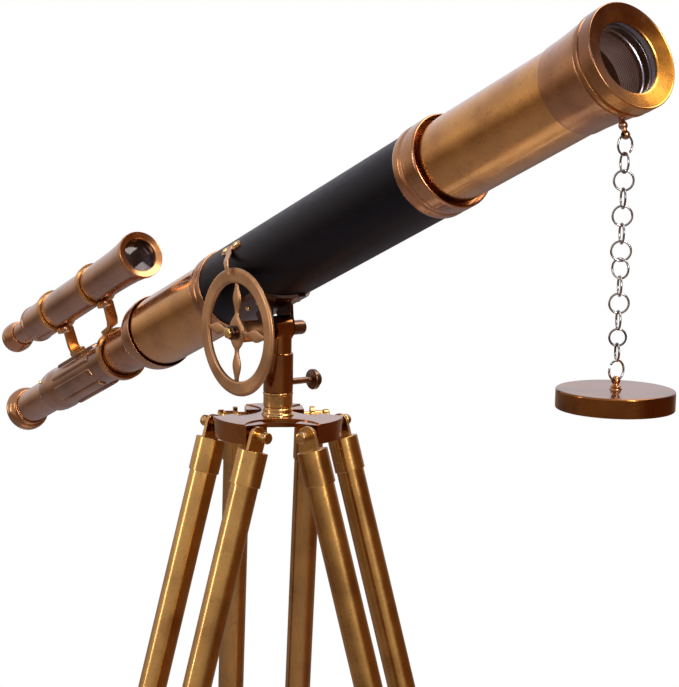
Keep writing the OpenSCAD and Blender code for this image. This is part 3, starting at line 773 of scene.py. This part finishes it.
lathe(
    "head_socket_piece",
    [
        (0, 0), (15, 0), (14.8, 1), (13.7, 2.2), (13.3, 3), (13.3, 5.8), (12.5, 6.6),
        (12.5, 7.4), (13.3, 8.2), (13.3, 18.6), (13.7, 19), (13.7, 20.4), (13.3, 21), (8, 21),
        (8, 49), (7, 50), (0, 50),
    ],
    HEAD,
    ["head_socket"],
    material=GOLDEN,
    radius=0.4,
)
from_cad("stem_piece", "stem", 0.5)
from_cad("tripod_head_piece", "tripod_head", 0.5)
from_cad("hinge_pins_piece", "hinge_pins", 0.3)
from_cad("azimuth_thumbscrew_piece", "azimuth_thumbscrew", 0.4, IRON)
from_cad("pivot_nut_piece", "pivot_nut", 0.4, IRON)
# The saddle is painted very dark as painted shade, for the shadow under the tube.
from_cad("saddle_piece", "saddle", 0.5, SHADE)
from_cad("strap_piece", "strap", 0.3, SATIN)
screws = from_cad("screws_piece", "screws", 0.15)
screws.data.materials.append(PINK)
for face in screws.data.polygons:
    seen_from_scope = SCOPE.inverted() @ face.center
    if seen_from_scope.x < -200 * MM and seen_from_scope.z > 40 * MM:
        face.material_index = 1


def add_loft(bm, sections, turn, sides=24):
    """Skins a flat arm from (height, half width, half thickness), then turns it about X."""
    rows = []
    for out, half, thick in sections:
        row = []
        for m in range(sides):
            a = 2 * math.pi * m / sides
            across = half * math.copysign(abs(math.cos(a)) ** 0.7, math.cos(a))
            deep = thick * math.copysign(abs(math.sin(a)) ** 0.7, math.sin(a))
            row.append(bm.verts.new(turn @ Vector((deep, across, out)) * MM))
        rows.append(row)
    for k in range(len(rows) - 1):
        for m in range(sides):
            n = (m + 1) % sides
            bm.faces.new([rows[k][m], rows[k][n], rows[k + 1][n], rows[k + 1][m]])
    bm.faces.new(rows[0][::-1])
    bm.faces.new(rows[-1])


def handwheel():
    """The rim, the hub, four petal spokes and the leaf in the middle."""
    bm = bmesh.new()
    add_lathe(
        bm,
        [
            (43.9, -1.2), (45.3, -2.2), (55.9, -2.2), (57.3, -0.8), (57.3, 0.8), (55.4, 2.2),
            (45.3, 2.2), (43.9, 1.2),
        ],
        192,
        1.1,
    )
    add_lathe(bm, [(4.05, -30), (9.6, -31.4), (9.6, -2), (4.05, -2)], 96, 0.4)
    petal = [
        (8, 3.8), (11, 3.5), (14, 3.1), (16.5, 2.5), (18, 2.3), (20, 2.7), (22, 3.5), (24, 4.4),
        (26, 5.2), (28, 5.7), (30, 5.9), (32, 5.7), (34, 5.2), (36, 4.4), (38, 3.6), (40, 2.8),
        (42, 2.3), (44.6, 2.2),
    ]
    for q in range(4):
        turn = Matrix.Rotation(math.pi / 2 * q, 3, "X")
        add_loft(bm, [(out, half, 1.3 + 0.1 * half) for out, half in petal], turn)
    leaf = [
        (-16.5, 0.8, 1.4), (-15, 2.6, 1.9), (-13, 5, 2.2), (-10.5, 7.4, 2.3), (-7.5, 9.5, 2.3),
        (-4.5, 11.1, 2.3), (-1.5, 11.8, 2.3),
    ]
    leaf += [(-out, half, thick) for out, half, thick in leaf[::-1]]
    add_loft(bm, leaf, Matrix.Identity(3), 32)
    mesh = finish_mesh(bm, "handwheel")
    weigh_normals(piece("handwheel_piece", mesh, WHEEL, ["handwheel"], material=SATIN))


handwheel()
lathe(
    "handwheel_nut_piece",
    [
        (4.02, 2.6), (6.4, 2.6), (6.4, 7.4), (5.8, 8), (4.6, 8.3), (0, 8.3), (0, 7.4),
        (4.02, 7.4),
    ],
    WHEEL,
    ["handwheel_nut"],
    material=SHADE,
    turns=96,
    radius=0.5,
)
lathe(
    "handwheel_nut_end_piece",
    [(0, 8.35), (4.5, 8.35), (4.9, 8.8), (4.9, 10.6), (4.2, 11.6), (0, 12)],
    WHEEL,
    ["handwheel_nut"],
    turns=96,
    radius=0.5,
)

# ---- Chain and lens cap ----


def chain(name, node, rings):
    """Rings of wire given as (height of the centre, radius, angle, gap) tuples."""
    bm = bmesh.new()
    for z, ring, angle, gap in rings:
        centre = Vector((joint_at("chain_sway").x, 0, z * MM))
        place = Matrix.Translation(centre) @ Matrix.Rotation(math.radians(angle), 4, "Z")
        add_ring(bm, place, ring, gap)
    weigh_normals(piece(name, finish_mesh(bm, name), Matrix.Identity(4), [node]))


link_r, top_loop_r, low_loop_r, hook_loop_r, hook_r = 7, 6.6, 6, 6.2, 7.2
hang = 1.65  # how far each ring reaches into the one above
weld = 0.3  # how far the two loops of one link run into each other
angles = [-22, 57, -33, 57, -33, 52, 8, -36, 57]
ring_low, ring_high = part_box("chain_ring")
top_ring = (ring_low.z + ring_high.z) / 2 / MM
pitch = 2 * link_r - hang
eight_top = top_ring - link_r - len(angles) * pitch + hang
eight_bottom = eight_top - 2 * top_loop_r - 2 * low_loop_r + weld
hook_top = eight_bottom + hang
hook_bottom = hook_top - 2 * hook_loop_r - 2 * hook_r + weld
chain("chain_ring_piece", "chain_ring", [(top_ring, link_r, 90, (-58, 22))])
chain(
    "chain_links_piece",
    "chain_links",
    [(top_ring - (k + 1) * pitch, link_r, a, None) for k, a in enumerate(angles)]
    + [
        (eight_top - top_loop_r, top_loop_r, -33, None),
        (eight_bottom + low_loop_r, low_loop_r, 57, None),
        (hook_top - hook_loop_r, hook_loop_r, -33, None),
        (hook_bottom + hook_r, hook_r, 90, (152, 22)),
    ],
)
from_cad("chain_stud_piece", "chain_stud", 0.15, PINK)
from_cad("cap_stud_piece", "cap_stud", 0.15)
lathe(
    "lens_cap_piece",
    [
        (0, 0), (41.5, 0), (42.2, -0.3), (42.5, -1), (42.5, -13.5), (42, -14), (40.3, -14),
        (40.3, -3), (0, -3),
    ],
    CAP,
    ["lens_cap"],
    material=CAP_BRASS,
    turns=192,
    radius=0.5,
)

# ---- Legs ----


def leg_tubes(leg, place):
    """The two upper tubes of one leg, side by side."""
    bm = bmesh.new()
    for side in (-LEG_HALF_GAP, LEG_HALF_GAP):
        tube = bmesh.new()
        outline = [(11, 18), (12.6, 18), (12.6, LEG_TUBE_END), (11, LEG_TUBE_END)]
        add_lathe(tube, outline, 96, 0.3)
        bmesh.ops.translate(tube, verts=tube.verts, vec=(0, side * MM, 0))
        held = bpy.data.meshes.new("held")
        tube.to_mesh(held)
        tube.free()
        bm.from_mesh(held)
        bpy.data.meshes.remove(held)
    mesh = finish_mesh(bm, f"leg_tubes_{leg}")
    weigh_normals(piece(f"leg_tubes_piece_{leg}", mesh, place, [f"leg_tubes_{leg}"]))


for leg, place in LEGS.items():
    for kind, width, made_of in (
        ("leg_ferrules", 0.4, None),
        ("leg_clamp", 0.5, None),
        ("leg_thumbscrew", 0.3, IRON),
        ("leg_guide", 0.5, None),
        ("foot", 0.4, IRON),
    ):
        from_cad(f"{kind}_piece_{leg}", f"{kind}_{leg}", width, made_of)
    leg_tubes(leg, place)
    from_cad(f"lower_tube_piece_{leg}", f"lower_tube_{leg}", 0.3)

for node_name, cad_object in frame["nodes"].items():
    cad_object.data.materials.clear()
    cad_object.data.materials.append(MATERIALS[slot_of[node_name]])

# ---- Camera ----

camera_at = TRUNNION + Vector((1.28015, -0.88815, 0.21371))
camera_data = bpy.data.cameras.new("camera")
camera_data.sensor_width = 36
camera_data.lens = 91.2
camera = bpy.data.objects.new("camera", camera_data)
bpy.context.scene.collection.objects.link(camera)
bpy.context.scene.camera = camera
yaw, dip, roll = math.radians(53.222), math.radians(8.268), math.radians(0.923)
level = Vector((math.cos(yaw), math.sin(yaw), 0))
look = UP.cross(level) * math.cos(dip) - UP * math.sin(dip)
above = level.cross(look)
right = level * math.cos(roll) + above * math.sin(roll)
top = above * math.cos(roll) - level * math.sin(roll)
camera.matrix_world = (
    Matrix.Translation(camera_at) @ Matrix((right, top, -look)).transposed().to_4x4()
)

# ---- Studio ----


def facing(nodes, links, where, direction, stops):
    """A ramp over how far a ray points in a direction."""
    node = nodes.new("ShaderNodeVectorMath")
    node.operation = "DOT_PRODUCT"
    node.inputs[1].default_value = direction
    links.new(where, node.inputs[0])
    return ramp(nodes, links, node.outputs["Value"], stops)


def blend(nodes, links, factor, first, second, kind="MIX"):
    """Mixes two colours; each of the factor and colours is a value or a socket."""
    node = nodes.new("ShaderNodeMix")
    node.data_type = "RGBA"
    node.blend_type = kind
    for name, value in (("Factor", factor), ("A", first), ("B", second)):
        if isinstance(value, bpy.types.NodeSocket):
            links.new(value, node.inputs[name])
        else:
            node.inputs[name].default_value = value
    return node.outputs["Result"]


def studio_world():
    """White behind the object; what lights it is a sky, a pale back wall and a dark card."""
    world = bpy.data.worlds.new("studio")
    bpy.context.scene.world = world
    world.use_nodes = True
    nodes, links = world.node_tree.nodes, world.node_tree.links
    nodes.clear()
    where = nodes.new("ShaderNodeTexCoord").outputs["Generated"]
    split = nodes.new("ShaderNodeSeparateXYZ")
    links.new(where, split.inputs[0])
    height = nodes.new("ShaderNodeMapRange")
    height.inputs["From Min"].default_value = -1
    height.inputs["From Max"].default_value = 1
    links.new(split.outputs["Z"], height.inputs["Value"])
    sky = ramp(
        nodes,
        links,
        height.outputs[0],
        [
            (0.0, (0.32, 0.28, 0.31)),
            (0.20, (0.27, 0.23, 0.24)),
            (0.36, (0.17, 0.12, 0.09)),
            (0.45, (0.34, 0.28, 0.235)),
            (0.53, (0.62, 0.54, 0.48)),
            (0.64, (0.60, 0.56, 0.55)),
            (1.0, (0.64, 0.63, 0.72)),
        ],
    )
    black, white = (0, 0, 0), (1, 1, 1)
    card = facing(nodes, links, where, level, [(0.45, black), (0.80, white)])
    sky = blend(nodes, links, card, sky, (0.16, 0.07, 0.03, 1))
    wall = facing(nodes, links, where, (look.x, look.y, 0), [(0.50, black), (0.88, white)])
    floor_line = ramp(nodes, links, height.outputs[0], [(0.46, black), (0.60, white)])
    wall = blend(nodes, links, 1.0, wall, floor_line, "MULTIPLY")
    lit = nodes.new("ShaderNodeBackground")
    links.new(blend(nodes, links, wall, sky, (0.80, 0.78, 0.85, 1)), lit.inputs["Color"])
    seen = nodes.new("ShaderNodeBackground")
    seen.inputs["Color"].default_value = (1, 1, 1, 1)
    rays = nodes.new("ShaderNodeLightPath")
    pick = nodes.new("ShaderNodeMixShader")
    links.new(rays.outputs["Is Camera Ray"], pick.inputs[0])
    links.new(lit.outputs[0], pick.inputs[1])
    links.new(seen.outputs[0], pick.inputs[2])
    out = nodes.new("ShaderNodeOutputWorld")
    links.new(pick.outputs[0], out.inputs[0])


def softbox(name, at, aim, size, power, colour):
    """A rectangular lamp that the camera doesn't see."""
    light = bpy.data.lights.new(name, "AREA")
    light.shape = "RECTANGLE"
    light.size, light.size_y = size
    light.energy = power
    light.color = colour
    obj = bpy.data.objects.new(name, light)
    bpy.context.scene.collection.objects.link(obj)
    obj.location = at
    obj.rotation_mode = "QUATERNION"
    obj.rotation_quaternion = (Vector(at) - Vector(aim)).to_track_quat("Z", "Y")
    obj.visible_camera = False


def floor_disc():
    """A pale round floor just below the feet."""
    bm = bmesh.new()
    bmesh.ops.create_circle(bm, cap_ends=True, segments=96, radius=0.52)
    mesh = bpy.data.meshes.new("floor")
    bm.to_mesh(mesh)
    bm.free()
    floor = bpy.data.objects.new("floor", mesh)
    bpy.context.scene.collection.objects.link(floor)
    floor.location = (0, 0, cad_low.z - 0.0005)
    mat, nodes, links, bsdf = shader("floor")
    clouds = noise(nodes, links, 3)
    links.new(
        ramp(nodes, links, clouds, [(0.3, (0.72, 0.71, 0.70)), (0.7, (0.76, 0.75, 0.74))]),
        bsdf.inputs["Base Color"],
    )
    bsdf.inputs["Roughness"].default_value = 0.8
    mesh.materials.append(mat)


studio_world()
aim_at = (0, 0, 1.35)
softbox("overhead", (0.5, 0.6, 3.3), aim_at, (1.5, 1.5), 38, (1.0, 0.90, 0.74))
softbox("key", (2.5, -0.45, 2.3), aim_at, (0.4, 1.2), 34, (1.0, 0.97, 0.93))
softbox("left", (-0.9, -2.6, 2.0), aim_at, (0.25, 1.6), 10, (1.0, 0.97, 0.94))
floor_disc()
bpy.context.scene.view_settings.view_transform = "Standard"
